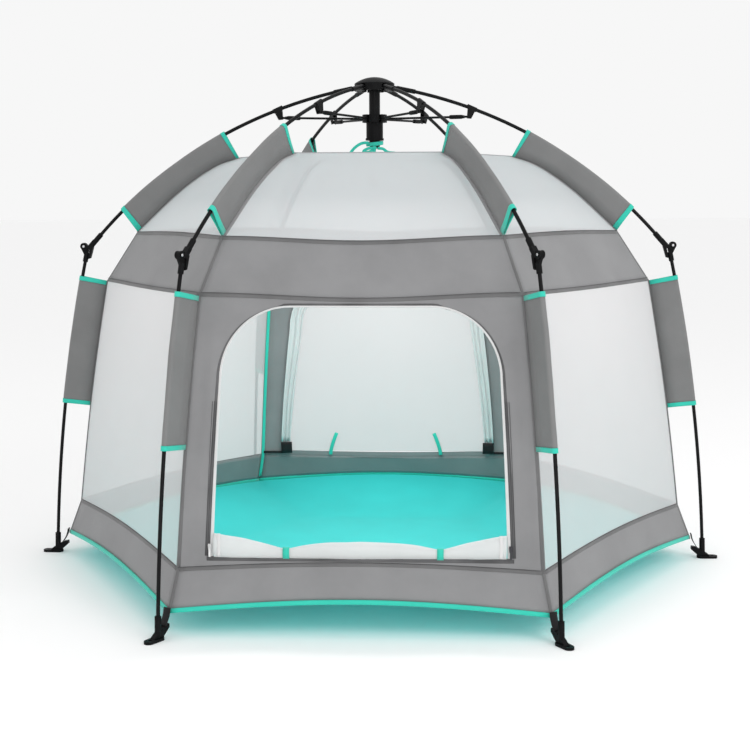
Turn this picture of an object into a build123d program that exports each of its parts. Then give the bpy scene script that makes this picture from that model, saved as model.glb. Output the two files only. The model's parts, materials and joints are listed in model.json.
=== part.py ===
"""Six-sided pop-up travel play yard: a folding umbrella frame with a fabric enclosure hung inside it.

Millimetres. +Z is up, z = 0 is the ground, and the origin is under the hub at the middle of the yard.
The six corners stand at 0, 60, ... 300 degrees. The wall with the front door faces -Y.
Most sizes are pairs (r, z) in the upright plane through the hub axis and one corner:
r is the distance from the hub axis, z is the height above the ground.
"""
from build123d import *
import math
import os

# ---------------------------------------------------------------- driving dimensions
CORNERS = {
    "right": 0,
    "back_right": 60,
    "back_left": 120,
    "left": 180,
    "front_left": 240,
    "front_right": 300,
}
FRONT_SECTOR = 240
REAR_SECTOR = 60

ROD_R = 4.3
STRUT_R = 2.8
PIN_R = 1.5
RUN_GAP = 0.05

HUB_PIVOT = (42, 1202)
RIB_STRAIGHT_END = (100, 1190)
RIB_MIDDLE = (384, 1086)
RIB_END = (705, 838)
KNEE_PIVOT = (750, 808)
POLE_TOP = (744, 790)
POLE_MIDDLE = (815, 400)
POLE_BOTTOM = (850, 12)
RUNNER_PIVOT = (24, 1124)
BRACKET_PIVOT = (237, 1128)

HUB_R = 50
HUB_BORE_R = 34
HUB_LOW = 1192
HUB_SPLIT = 1210
HUB_TOP = 1226
RIB_SLOT = 10
EYE_R = 5
EYE_W = 9

POST_R = 13.8
POST_TOP = 1216
POST_LOW = 1058
POST_TIP = 1051
RUNNER_R = 21
RUNNER_LOW = 1071
CROWN_LOW = 1115
CROWN_TOP = 1134
CROWN_R = 31
STRUT_SLOT = 7
STRUT_EYE_W = 6

KNEE_W = 13
CHEEK_GAP = 7
TONGUE_W = 6.6
CHEEK_R = 9
SOCKET_R = 6.5
RIVET_R = 2
STOP_IN = 17

FOOT_T = 6
STAKE_R = 4
STAKE_AT = 875

# fabric outline at a corner, from the hem up to the middle of the roof
BINDING_LOW = (817, 50)
HEM = (814, 59)
SKIRT_TOP = (782, 141)
WALL_TOP = (693, 719)
BAND_TOP = (609, 845)
DOME_1 = (500, 944)
DOME_2 = (410, 1006)
ROOF = (341, 1030)
ROOF_MIDDLE = (18, 1036)
CLOTH_T = 1.5

DOOR_SILL = 169
DOOR_SPRING = 575
DOOR_TOP = 696
DOOR_SILL_HALF = 316
DOOR_SPRING_HALF = 300
ZIP_W = 12
ZIP_T = 1.2

FLOOR_T = 3
FLOOR_FLAT_R = 470
ROLL_H = 38
ROLL_T = 26
TIE_PLACES = (-157, 172)
STRAP_W = 19
SLEEVE_LOW = 395


# ---------------------------------------------------------------- geometry helpers
def at(rz, angle, side=0.0):
    """The point (r, z) in a corner's plane, moved sideways out of that plane."""
    a = math.radians(angle)
    return Vector(
        rz[0] * math.cos(a) - side * math.sin(a),
        rz[0] * math.sin(a) + side * math.cos(a),
        rz[1],
    )


def add(p, direction, distance):
    return (p[0] + direction[0] * distance, p[1] + direction[1] * distance)


def unit(a, b):
    length = math.hypot(b[0] - a[0], b[1] - a[1])
    return ((b[0] - a[0]) / length, (b[1] - a[1]) / length)


def arc_centre(a, b, c):
    """Centre of the circle through three (r, z) points."""
    d = 2 * (a[0] * (b[1] - c[1]) + b[0] * (c[1] - a[1]) + c[0] * (a[1] - b[1]))
    sa, sb, sc = (p[0] ** 2 + p[1] ** 2 for p in (a, b, c))
    r = (sa * (b[1] - c[1]) + sb * (c[1] - a[1]) + sc * (a[1] - b[1])) / d
    z = (sa * (c[0] - b[0]) + sb * (a[0] - c[0]) + sc * (b[0] - a[0])) / d
    return (r, z)


def arc_tangent(a, b, c):
    """Direction of travel at the end c of the arc a, b, c."""
    centre = arc_centre(a, b, c)
    radius = unit(centre, c)
    turn = (c[0] - a[0]) * -radius[1] + (c[1] - a[1]) * radius[0]
    sign = 1 if turn > 0 else -1
    return (-radius[1] * sign, radius[0] * sign)


def rod(a, b, radius):
    """A round rod between two (r, z) points in the plane of the corner at 0 degrees."""
    start, end = Vector(a[0], 0, a[1]), Vector(b[0], 0, b[1])
    plane = Plane(origin=start, z_dir=end - start)
    return extrude(plane * Circle(radius), (end - start).length)


def arc_rod(a, b, c, radius):
    """A rod along one arc."""
    points = [Vector(p[0], 0, p[1]) for p in (a, b, c)]
    edge = Edge.make_three_point_arc(*points)
    profile = Plane(origin=points[0], z_dir=edge.tangent_at(0)) * Circle(radius)
    return sweep(profile, path=edge)


def cross_pin(rz, radius, width, side=0.0):
    """A round pin through an (r, z) point, square to the corner's plane."""
    plane = Plane(origin=(rz[0], side - width / 2, rz[1]), z_dir=(0, 1, 0))
    return extrude(plane * Circle(radius), width)


def flat_plate(points, width, side=0.0):
    """A plate with the outline given by (r, z) points, square to the corner's plane."""
    wire = Wire.make_polygon([Vector(p[0], side - width / 2, p[1]) for p in points], close=True)
    return Solid.extrude(Face(wire), Vector(0, width, 0))


def turned(shape, angle):
    return shape.rotate(Axis.Z, angle)


def write(name, shapes):
    """One file for a sub-part, with each of its solids."""
    solids = []
    for shape in shapes:
        solids += list(shape.solids())
    if len(solids) == 1:
        export_step(solids[0], f"parts/{name}.step")
    else:
        export_step(Compound(children=solids), f"parts/{name}.step")


# ---------------------------------------------------------------- cloth helpers
def offset_outline(outline, thickness):
    """The (r, z) outline moved towards the inside of the yard, mitred at each point."""
    moved = []
    for i, point in enumerate(outline):
        before = unit(outline[max(i - 1, 0)], outline[max(i, 1)])
        after = unit(outline[min(i, len(outline) - 2)], outline[min(i + 1, len(outline) - 1)])
        normal_1 = (-before[1], before[0])
        normal_2 = (-after[1], after[0])
        cosine = normal_1[0] * normal_2[0] + normal_1[1] * normal_2[1]
        scale = thickness / (1 + cosine)
        moved.append((
            point[0] + (normal_1[0] + normal_2[0]) * scale,
            point[1] + (normal_1[1] + normal_2[1]) * scale,
        ))
    return moved


def block(corners):
    """A closed solid with eight corners and six flat sides: four corners, then the four facing them."""
    a, b, c, d, e, f, g, h = corners
    sides = [(a, b, c, d), (e, h, g, f), (a, e, f, b), (b, f, g, c), (c, g, h, d), (d, h, e, a)]
    faces = [Face(Wire.make_polygon(list(side), close=True)) for side in sides]
    return Solid(Shell(faces))


def panel(outer, inner, sector):
    """One flat cloth panel between two corners, between two levels of the outline."""
    corners = []
    for angle in (sector, sector + 60):
        corners += [at(outer[0], angle), at(outer[1], angle), at(inner[1], angle), at(inner[0], angle)]
    return block(corners)


CLOTH_OUTER = [BINDING_LOW, HEM, SKIRT_TOP, WALL_TOP, BAND_TOP, DOME_1, DOME_2, ROOF, ROOF_MIDDLE]
CLOTH_INNER = offset_outline(CLOTH_OUTER, CLOTH_T)


def level_panels(low, high, sectors):
    """The panels between two numbered levels of the cloth outline."""
    made = []
    for sector in sectors:
        for i in range(low, high):
            made.append(panel(CLOTH_OUTER[i:i + 2], CLOTH_INNER[i:i + 2], sector))
    return made


# ---------------------------------------------------------------- hub and runner
def hub_parts():
    ring = Pos(0, 0, HUB_LOW) * extrude(Circle(HUB_R) - Circle(HUB_BORE_R), HUB_SPLIT - HUB_LOW)
    pins = []
    for angle in CORNERS.values():
        slot = Pos(HUB_R, 0, (HUB_LOW + HUB_SPLIT - 2) / 2 - 1) * Box(40, RIB_SLOT, HUB_SPLIT - HUB_LOW)
        ring -= turned(slot, angle)
        pin = turned(cross_pin(HUB_PIVOT, PIN_R, 2 * EYE_W), angle)
        ring -= pin
        pins.append(pin)
    rise = HUB_TOP - HUB_SPLIT
    dome_r = (HUB_R ** 2 + rise ** 2) / (2 * rise)
    cap = Pos(0, 0, HUB_SPLIT) * extrude(Circle(HUB_R), rise)
    cap &= Pos(0, 0, HUB_TOP - dome_r) * Sphere(dome_r)
    cap -= Pos(0, 0, HUB_SPLIT) * extrude(Circle(HUB_BORE_R), POST_TOP - HUB_SPLIT)
    post = Pos(0, 0, POST_LOW) * extrude(Circle(POST_R), POST_TOP - POST_LOW)
    tip = Pos(0, 0, POST_TIP) * extrude(Circle(POST_R - 1), POST_LOW - POST_TIP)
    tip = fillet(tip.edges().filter_by(GeomType.CIRCLE).sort_by(Axis.Z)[0], 4)
    write("hub_shell", [ring])
    write("hub_cap", [cap])
    write("hub_rib_pins", pins)
    write("centre_post", [post, tip])


def runner_parts():
    bore = POST_R + RUN_GAP
    sleeve = Pos(0, 0, RUNNER_LOW) * extrude(Circle(RUNNER_R) - Circle(bore), CROWN_LOW - RUNNER_LOW)
    crown = Pos(0, 0, CROWN_LOW) * extrude(Circle(CROWN_R) - Circle(bore), CROWN_TOP - CROWN_LOW)
    pins = []
    for angle in CORNERS.values():
        slot = Pos(CROWN_R + 8, 0, CROWN_LOW + 9) * Box(40, STRUT_SLOT, 40)
        crown -= turned(slot, angle)
        pin = turned(cross_pin(RUNNER_PIVOT, PIN_R, 2 * STRUT_EYE_W), angle)
        crown -= pin
        pins.append(pin)
    grip = Pos(0, 0, RUNNER_LOW) * extrude(Circle(RUNNER_R + 2) - Circle(RUNNER_R), 5)
    write("runner_collar", [sleeve + crown + grip])
    write("runner_strut_pins", pins)


# ---------------------------------------------------------------- ribs, knees, legs, struts, feet
RIB_OUT = arc_tangent(RIB_STRAIGHT_END, RIB_MIDDLE, RIB_END)
RIB_IN = (-RIB_OUT[0], -RIB_OUT[1])
RIB_NORMAL = (-RIB_OUT[1], RIB_OUT[0])
RIB_OFFSET = (RIB_END[0] - KNEE_PIVOT[0]) * RIB_NORMAL[0] + (RIB_END[1] - KNEE_PIVOT[1]) * RIB_NORMAL[1]
POLE_UP = arc_tangent(POLE_BOTTOM, POLE_MIDDLE, POLE_TOP)
POLE_DOWN = (-POLE_UP[0], -POLE_UP[1])
POLE_INWARD = (POLE_DOWN[1], -POLE_DOWN[0])
POLE_OFFSET = (POLE_TOP[0] - KNEE_PIVOT[0]) * POLE_INWARD[0] + (POLE_TOP[1] - KNEE_PIVOT[1]) * POLE_INWARD[1]


def rib_frame(along, across):
    """A point near the knee: along the rib towards the hub, and across to the rib's outer side."""
    return add(add(KNEE_PIVOT, RIB_IN, along), RIB_NORMAL, across)


def pole_frame(down, inward):
    """A point near the knee: down the leg pole, and inward from the pivot."""
    return add(add(KNEE_PIVOT, POLE_DOWN, down), POLE_INWARD, inward)


def rib_solids():
    """A rib with its hub ferrule and the bracket that takes the strut."""
    hub_run = unit(HUB_PIVOT, RIB_STRAIGHT_END)
    pole = arc_rod(RIB_STRAIGHT_END, RIB_MIDDLE, RIB_END, ROD_R)
    pole += rod(RIB_END, rib_frame(19, RIB_OFFSET), ROD_R)
    pole += rod(add(HUB_PIVOT, hub_run, 9), RIB_STRAIGHT_END, ROD_R)
    ferrule = rod(add(HUB_PIVOT, hub_run, 14), add(RIB_STRAIGHT_END, hub_run, 2), ROD_R + 1.4)
    eye = cross_pin(HUB_PIVOT, EYE_R, EYE_W) + rod(HUB_PIVOT, add(HUB_PIVOT, hub_run, 16), 4.4)
    eye -= cross_pin(HUB_PIVOT, PIN_R + RUN_GAP, 2 * EYE_W)
    rib = pole + ferrule + eye
    clamp_at = rib_point_over_bracket()
    run = unit(clamp_at, RIB_MIDDLE)
    clamp = rod(add(clamp_at, run, -13), add(clamp_at, run, 13), ROD_R + 2)
    cheeks = []
    for side in (-1, 1):
        ear = flat_plate([
            add(clamp_at, run, -11),
            add(clamp_at, run, 11),
            (BRACKET_PIVOT[0] + 5, BRACKET_PIVOT[1] - 5),
            (BRACKET_PIVOT[0] - 6, BRACKET_PIVOT[1] - 4),
        ], 1.9, side * 5.3)
        cheeks.append(ear + cross_pin(BRACKET_PIVOT, 3, 1.2, side * 6.85))
    under_rib = flat_plate([
        add(clamp_at, run, -15),
        add(clamp_at, run, 15),
        add(BRACKET_PIVOT, run, 15),
        add(BRACKET_PIVOT, run, -15),
    ], 8.6)
    bracket = clamp - under_rib
    for cheek in cheeks:
        bracket += cheek
    bracket -= rib
    return [rib, bracket]


def rib_point_over_bracket():
    """The point of the rib's arc that stands over the strut's outer pivot."""
    centre = arc_centre(RIB_STRAIGHT_END, RIB_MIDDLE, RIB_END)
    radius = math.hypot(RIB_END[0] - centre[0], RIB_END[1] - centre[1])
    r = BRACKET_PIVOT[0] + 6
    return (r, centre[1] + math.sqrt(radius ** 2 - (r - centre[0]) ** 2))


def knee_hood_solids():
    """The upper half of a knee: rib socket, cheeks, the stop behind the leg, and the leg's rivet."""
    socket = rod(rib_frame(16, RIB_OFFSET), rib_frame(53, RIB_OFFSET), SOCKET_R)
    edge = RIB_OFFSET + SOCKET_R - 0.2
    web = flat_plate([
        rib_frame(0, edge), rib_frame(30, edge), rib_frame(30, RIB_OFFSET - 4), rib_frame(5, RIB_OFFSET - 4)
    ], KNEE_W)
    stop = flat_plate([
        pole_frame(-6, STOP_IN - 1), pole_frame(-4, 24.5), pole_frame(26, 22.5), pole_frame(29, STOP_IN)
    ], KNEE_W)
    hood = socket + web + stop + cross_pin(KNEE_PIVOT, CHEEK_R, KNEE_W)
    hood -= cross_pin(KNEE_PIVOT, 16, CHEEK_GAP)
    hood -= cross_pin(KNEE_PIVOT, RIVET_R, 2 * KNEE_W)
    hood -= rod(rib_frame(18.99, RIB_OFFSET), rib_frame(60, RIB_OFFSET), ROD_R)
    rivet = cross_pin(KNEE_PIVOT, RIVET_R, KNEE_W)
    for side in (-1, 1):
        rivet += cross_pin(KNEE_PIVOT, 4, 1.4, side * (KNEE_W / 2 + 0.7))
    return [hood, rivet]


def knee_fork_solids():
    """The lower half of a knee: a tongue between the cheeks and the socket of the leg pole."""
    socket = rod(pole_frame(15, POLE_OFFSET), pole_frame(38, POLE_OFFSET), SOCKET_R)
    tongue = flat_plate([
        pole_frame(0, POLE_OFFSET + 4), pole_frame(0, 0), pole_frame(6, -7), pole_frame(20, POLE_OFFSET - 6),
        pole_frame(20, POLE_OFFSET + 4),
    ], TONGUE_W)
    fork = socket + tongue + cross_pin(KNEE_PIVOT, CHEEK_R - 0.5, TONGUE_W)
    fork -= cross_pin(KNEE_PIVOT, RIVET_R + RUN_GAP, 2 * KNEE_W)
    fork -= rod(POLE_TOP, add(POLE_TOP, POLE_DOWN, 60), ROD_R)
    return [fork]


def leg_pole_solids():
    return [arc_rod(POLE_BOTTOM, POLE_MIDDLE, POLE_TOP, ROD_R)]


def foot_solids():
    """A foot: toe plate with a stake hole, a socket for the pole, and a raised heel for the strap."""
    lean = arc_tangent(POLE_TOP, POLE_MIDDLE, POLE_BOTTOM)
    up = (-lean[0], -lean[1])
    toe = make_hull([
        *(Pos(878, 0) * Circle(11)).edges(), *(Pos(848, 0) * Circle(12)).edges(),
    ])
    plate = extrude(toe, FOOT_T) - Pos(STAKE_AT, 0, FOOT_T / 2) * Cylinder(STAKE_R, 3 * FOOT_T)
    socket = rod((850.2, 4), add(POLE_BOTTOM, up, 40), 7.2)
    ridge = flat_plate([(850, 5), (850, 20), (858, 15), (866, 9), (869, 5)], 12)
    heel = flat_plate([(820.2, 23), (821, 31), (832, 29), (850, 20), (853, 5), (841, 5)], 14)
    foot = plate + socket + ridge + heel
    foot -= Pos(850, 0, -10) * Box(40, 40, 20)
    foot -= arc_rod(POLE_BOTTOM, POLE_MIDDLE, POLE_TOP, ROD_R)
    return [foot]


def strut_solids():
    run = unit(RUNNER_PIVOT, BRACKET_PIVOT)
    inner = cross_pin(RUNNER_PIVOT, 4.5, STRUT_EYE_W)
    outer = cross_pin(BRACKET_PIVOT, 4, 5)
    bar = rod(RUNNER_PIVOT, BRACKET_PIVOT, STRUT_R)
    end_sleeve = rod(add(BRACKET_PIVOT, run, -34), add(BRACKET_PIVOT, run, -12), STRUT_R + 1.2)
    strut = bar + inner + outer + end_sleeve
    strut -= cross_pin(RUNNER_PIVOT, PIN_R + RUN_GAP, 2 * STRUT_EYE_W)
    for side in (-1, 1):
        strut += cross_pin(BRACKET_PIVOT, PIN_R, 1.2, side * 3)
    return [strut]


def frame_parts():
    makers = {
        "rib": rib_solids,
        "knee_hood": knee_hood_solids,
        "knee_fork": knee_fork_solids,
        "leg_pole": leg_pole_solids,
        "foot": foot_solids,
        "strut": strut_solids,
    }
    for kind, maker in makers.items():
        solids = maker()
        for corner, angle in CORNERS.items():
            write(f"{kind}_{corner}", [turned(solid, angle) for solid in solids])


# ---------------------------------------------------------------- enclosure
def wall_plane(sector):
    """A plane on a wall's outer face: X along the wall, Y up the wall, Z outward, origin at the skirt top."""
    middle = (at(SKIRT_TOP, sector) + at(SKIRT_TOP, sector + 60)) * 0.5
    top = (at(WALL_TOP, sector) + at(WALL_TOP, sector + 60)) * 0.5
    along = at(SKIRT_TOP, sector + 60) - at(SKIRT_TOP, sector)
    return Plane(origin=middle, x_dir=along, z_dir=along.cross(top - middle))


def up_wall(z):
    """Distance up the sloping wall for a height z."""
    inset = (SKIRT_TOP[0] - WALL_TOP[0]) * math.cos(math.radians(30))
    rise = WALL_TOP[1] - SKIRT_TOP[1]
    return (z - SKIRT_TOP[1]) * math.hypot(inset, rise) / rise


def door_outline(grow=0.0):
    """The door's arch as a face on the wall plane, made larger all round by grow."""
    sill, spring, top = up_wall(DOOR_SILL) - grow, up_wall(DOOR_SPRING), up_wall(DOOR_TOP) + grow
    foot, waist = DOOR_SILL_HALF + grow, DOOR_SPRING_HALF + grow
    shoulder = (waist * 0.86, top - (top - spring) * 0.36)
    flat = (waist * 0.55, top)
    right = Line((foot, sill), (waist, spring)) + ThreePointArc((waist, spring), shoulder, flat)
    left = Line((-foot, sill), (-waist, spring))
    left += ThreePointArc((-waist, spring), (-shoulder[0], shoulder[1]), (-flat[0], top))
    return make_face(right + left + Line((-foot, sill), (foot, sill)) + Line((-flat[0], top), flat))


def door_cut(sector, grow=0.0):
    return extrude(wall_plane(sector) * door_outline(grow), 20, both=True)


def door_walls():
    """The two walls with an arched door. The rear door is closed by its own mesh, the front one is open."""
    front = level_panels(2, 3, [FRONT_SECTOR])[0] - door_cut(FRONT_SECTOR)
    rear = level_panels(2, 3, [REAR_SECTOR])[0]
    write("front_door_wall", [front])
    write("rear_door_wall", [rear - door_cut(REAR_SECTOR)])
    write("rear_door_mesh", [rear & door_cut(REAR_SECTOR)])


def cloth_parts():
    every = [CORNERS[name] for name in CORNERS]
    side = [angle for angle in every if angle not in (FRONT_SECTOR, REAR_SECTOR)]
    write("hem_binding", level_panels(0, 1, every))
    write("skirt_panels", level_panels(1, 2, every))
    write("side_mesh_walls", level_panels(2, 3, side))
    write("band_panels", level_panels(3, 4, every))
    write("dome_mesh", level_panels(4, 8, every))


def floor_parts():
    """A shallow tray: flat on the ground in the middle, rising to the hem all round."""
    rim = (BINDING_LOW[0] - 0.5, CLOTH_INNER[0][1] - 0.05)
    top = [(FLOOR_FLAT_R, FLOOR_T), rim]
    under = [(FLOOR_FLAT_R, 0), (rim[0], rim[1] - FLOOR_T)]
    solids = [extrude(RegularPolygon(FLOOR_FLAT_R, 6, rotation=0), FLOOR_T)]
    for sector in CORNERS.values():
        solids.append(panel(top, under, sector))
    write("floor_mat", solids)


def between(low, high, z):
    part = (z - low[1]) / (high[1] - low[1])
    return low[0] + (high[0] - low[0]) * part


def pole_r(z):
    """Radius of the leg pole's centre line at height z."""
    centre = arc_centre(POLE_BOTTOM, POLE_MIDDLE, POLE_TOP)
    radius = math.hypot(POLE_TOP[0] - centre[0], POLE_TOP[1] - centre[1])
    return centre[0] + math.sqrt(radius ** 2 - (z - centre[1]) ** 2)


def rib_z(r):
    """Height of the rib's centre line at distance r."""
    centre = arc_centre(RIB_STRAIGHT_END, RIB_MIDDLE, RIB_END)
    radius = math.hypot(RIB_END[0] - centre[0], RIB_END[1] - centre[1])
    return centre[1] + math.sqrt(radius ** 2 - (r - centre[0]) ** 2)


def lower_fin(low, high, width):
    """Part of a lower pole sleeve's web, from the wall's corner seam out to the leg pole."""
    inner = [(between(SKIRT_TOP, WALL_TOP, z) + 0.3, z) for z in (low, high)]
    outer = []
    for i in range(5):
        z = low + (high - low) * i / 4
        z += 7 + 5 * (z - SLEEVE_LOW) / (WALL_TOP[1] - SLEEVE_LOW)
        outer.append((pole_r(z) - ROD_R - 0.7, z))
    return flat_plate(inner + outer[::-1], width)


def upper_fin(parts, width):
    """Part of an upper pole sleeve's web, from the dome's corner seam up to the rib."""
    seam = [BAND_TOP, DOME_1, DOME_2, ROOF]
    seam_normal = unit(ROOF, BAND_TOP)
    lift = (-seam_normal[1], seam_normal[0])
    outer_ends = (648, 378)
    start, end = parts
    inner, outer = [], []
    for share in [start] + [kink for kink in (1 / 3, 2 / 3) if start < kink < end] + [end]:
        k = min(int(share * 3), 2)
        a, b = seam[k], seam[k + 1]
        part = share * 3 - k
        inner.append((a[0] + (b[0] - a[0]) * part + lift[0], a[1] + (b[1] - a[1]) * part + lift[1]))
    for i in range(7):
        r = outer_ends[0] + (outer_ends[1] - outer_ends[0]) * (start + (end - start) * i / 6)
        outer.append((r - 3.4, rib_z(r) - ROD_R - 1.8))
    return flat_plate(inner + outer[::-1], width)


def sleeve_parts():
    webs, bindings = [], []
    for angle in CORNERS.values():
        webs.append(turned(lower_fin(406, 709, 1.2), angle))
        bindings.append(turned(lower_fin(SLEEVE_LOW, 405.9, 2), angle))
        bindings.append(turned(lower_fin(709.1, 718, 2), angle))
        webs.append(turned(upper_fin((0.04, 0.96), 1.2), angle))
        bindings.append(turned(upper_fin((0, 0.0395), 2), angle))
        bindings.append(turned(upper_fin((0.9605, 1), 2), angle))
    write("pole_sleeves", webs)
    write("sleeve_bindings", bindings)


def strap_parts():
    """Webbing from each heel up to the corner of the floor, and the ties that hold the rolled door."""
    straps = []
    for angle in CORNERS.values():
        strap = flat_plate([(819.4, 34), (821, 34), (819.2, 60), (817.6, 60)], STRAP_W)
        straps.append(turned(strap, angle))
    write("foot_straps", straps)


def door_trim_parts():
    """Zip tape round the front door, its two sliders, the rolled door on the sill and its two ties."""
    plane = wall_plane(FRONT_SECTOR)
    outer = extrude(plane * door_outline(ZIP_W), ZIP_T)
    inner = extrude(plane * door_outline(0), 3 * ZIP_T, both=True)
    keep_up = extrude(plane * (Pos(0, 500 + up_wall(DOOR_SILL)) * Rectangle(900, 1000)), 3 * ZIP_T, both=True)
    write("door_zips", [(outer - inner) & keep_up])
    sill = up_wall(DOOR_SILL)
    roll = Pos(0, sill + 0.5 + ROLL_H / 2, -3) * Box(2 * DOOR_SPRING_HALF, ROLL_H, ROLL_T)
    write("front_door_roll", [plane * roll])
    ties = []
    for side in TIE_PLACES:
        ties.append(plane * (Pos(side, sill + ROLL_H / 2, ROLL_T / 2 - 2) * Box(14, ROLL_H + 6, 1.6)))
    write("door_tie_straps", ties)
    lean = (DOOR_SILL_HALF - DOOR_SPRING_HALF) / (up_wall(DOOR_SPRING) - sill)
    for name, side in (("zip_slider_left", -1), ("zip_slider_right", 1)):
        half = DOOR_SILL_HALF + ZIP_W / 2 - lean * 24
        body = Pos(side * half, sill + 24, ZIP_T + 0.3 + 2) * Box(8, 12, 4)
        body = fillet(body.edges().filter_by(Axis.Z), 2.5)
        tab = Pos(side * half, sill + 10, ZIP_T + 0.3 + 3.4) * Box(5, 20, 1.2)
        write(name, [plane * (body + tab)])


def canopy_tie_parts():
    """Tape tied round the bottom of the post, with two loops and two tails over the roof."""
    ring = Pos(0, 0, 1060) * extrude(Circle(POST_R + 2.4) - Circle(POST_R + 0.5), 8)
    stem = Pos(POST_R + 1.6, 0, 1050) * Box(1.4, 9, 24)
    tails = []
    for side, reach in ((-1, 60), (1, 52)):
        tail = Wire.make_polygon([
            (side * 4, -POST_R - 0.9, 1066), (side * 4, -POST_R - 0.9, 1058),
            (side * reach, -POST_R - 12, 1046), (side * reach, -POST_R - 12, 1055),
        ], close=True)
        tails.append(Solid.extrude(Face(tail), Vector(0, -1.4, 0)))
    write("canopy_tie", [ring + stem] + tails)


os.makedirs("parts", exist_ok=True)
hub_parts()
runner_parts()
frame_parts()
cloth_parts()
door_walls()
floor_parts()
sleeve_parts()
strap_parts()
door_trim_parts()
canopy_tie_parts()
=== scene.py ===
"""The looks of a six-sided pop-up travel play yard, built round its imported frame. Metres, +Z up."""
import json
import math

import bpy
import numpy as np
from mathutils import Matrix, Vector, noise


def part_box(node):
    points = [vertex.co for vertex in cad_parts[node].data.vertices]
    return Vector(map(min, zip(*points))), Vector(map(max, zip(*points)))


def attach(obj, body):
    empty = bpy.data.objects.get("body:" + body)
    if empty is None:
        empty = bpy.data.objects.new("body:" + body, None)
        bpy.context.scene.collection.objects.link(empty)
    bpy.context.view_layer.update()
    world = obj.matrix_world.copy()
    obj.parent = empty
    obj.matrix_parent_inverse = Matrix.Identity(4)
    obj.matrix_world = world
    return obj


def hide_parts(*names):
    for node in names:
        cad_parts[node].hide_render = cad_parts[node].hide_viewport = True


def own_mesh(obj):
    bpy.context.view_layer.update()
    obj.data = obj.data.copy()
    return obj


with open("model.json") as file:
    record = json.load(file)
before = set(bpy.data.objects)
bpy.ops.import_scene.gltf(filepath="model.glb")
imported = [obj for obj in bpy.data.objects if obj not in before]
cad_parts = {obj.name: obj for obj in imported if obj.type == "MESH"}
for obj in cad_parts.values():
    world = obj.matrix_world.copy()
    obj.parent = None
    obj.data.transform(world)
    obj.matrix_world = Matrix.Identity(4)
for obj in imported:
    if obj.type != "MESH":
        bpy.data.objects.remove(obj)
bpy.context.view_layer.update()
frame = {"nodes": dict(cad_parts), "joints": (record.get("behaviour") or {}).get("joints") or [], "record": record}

# ---------------------------------------------------------------- places read from the frame
CORNERS = {"right": 0, "back_right": 60, "back_left": 120, "left": 180, "front_left": 240, "front_right": 300}
SECTORS = {"back_right": 0, "rear": 60, "back_left": 120, "front_left": 180, "front": 240, "front_right": 300}
FRONT, REAR = SECTORS["front"], SECTORS["rear"]
APOTHEM = 0.866  # of a hexagon whose corners are 1 from its middle
FOLD = "hub_lower"


def joint_place(name):
    joint = next(j for j in frame["joints"] if j["name"] == name)
    x, y, z = joint["pos_m"]
    return math.hypot(x, y), z


def corner_outline(node):
    """The outer (r, z) points of a cloth node at the right-hand corner, from the lowest up."""
    points = [v.co for v in frame["nodes"][node].data.vertices if abs(v.co.y) < 1e-5 and v.co.x > 0]
    low, high = min(p.z for p in points), max(p.z for p in points)
    bottom = max((p for p in points if p.z < low + 0.002), key=lambda p: p.x)
    top = max((p for p in points if p.z > high - 0.002), key=lambda p: p.x)
    return (bottom.x, bottom.z), (top.x, top.z)


BINDING_LOW, HEM = corner_outline("hem_binding")
SKIRT_TOP, WALL_TOP = corner_outline("side_mesh_walls")
BAND_TOP = corner_outline("band_panels")[1]
ROOF_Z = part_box("dome_mesh")[1].z
KNEE = joint_place("knee_fold_right")
RUNNER_PIVOT = joint_place("strut_fold_right")
POST_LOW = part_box("centre_post")[0].z
DOOR_HALF_LOW = (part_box("rear_door_mesh")[1].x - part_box("rear_door_mesh")[0].x) / 2
DOOR_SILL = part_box("rear_door_mesh")[0].z
DOOR_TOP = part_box("rear_door_mesh")[1].z

# ---------------------------------------------------------------- named sizes of the cloth
SHOULDERS = ((0.500, 0.9445), (0.410, 1.0055))
ROOF_EDGE = (0.341, 1.030)
REAR_SKIRT_RISE = -0.003
REAR_SILL_DROP = 0.013
RISE = {"hem": 0.024, "skirt": 0.014, "wall": -0.011, "band": -0.010, "roof": 0.0}
SIDE_RISE = {"hem": 0.022, "skirt": 0.014, "wall": -0.002, "band": 0.005, "roof": 0.0}
WALL_BULGE = 0.006
FLAT_FROM = 0.09  # the share of the front wall's width, from a corner to where the wall lies flat
DOOR_SPRING = 0.545
DOOR_HALF_HIGH = 0.298
DOOR_FLAT_HALF = 0.150
SLEEVE_R = 0.0062
SLEEVE_LOW, SLEEVE_HIGH = 0.395, 0.720
POLE_LOW, POLE_MID, POLE_HIGH = (0.850, 0.012), (0.815, 0.400), (0.744, 0.790)
RIB_LOW, RIB_MID, RIB_HIGH = (0.705, 0.838), (0.384, 1.086), (0.100, 1.190)
BIND_W = 0.011
TIE_PLACES = (-0.157, 0.172)
CLOTH_T = 0.0009
SLACK, CREASE, RIPPLE = 0.0022, 0.0020, 0.0035
DOME_SLACK, DOME_RIPPLE = 0.010, 0.006
ROOF_SAG = 0.007
ROOF_MIDDLE = 0.035  # the roof netting stops at this share of its radius, round the post
FLOOR_FLAT_R = 0.470
WELT = 0.010

# ---------------------------------------------------------------- camera, fitted to the photograph's view
CAMERA_PLACE = (0.1836, -3.4858, 0.9082)
CAMERA_FORWARD = (-0.05248, 0.98661, -0.15439)
CAMERA_UP = (-0.00451, 0.15437, 0.98800)
CAMERA_SHIFT = 0.06
LENS = 65.3


# ---------------------------------------------------------------- geometry helpers
def at(r, z, angle):
    """The point at radius r and height z, on the side that the angle (degrees) says."""
    a = math.radians(angle)
    return Vector((r * math.cos(a), r * math.sin(a), z))


def sideways(angle):
    """The level direction square to the radius at this angle."""
    a = math.radians(angle)
    return Vector((-math.sin(a), math.cos(a), 0))


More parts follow.
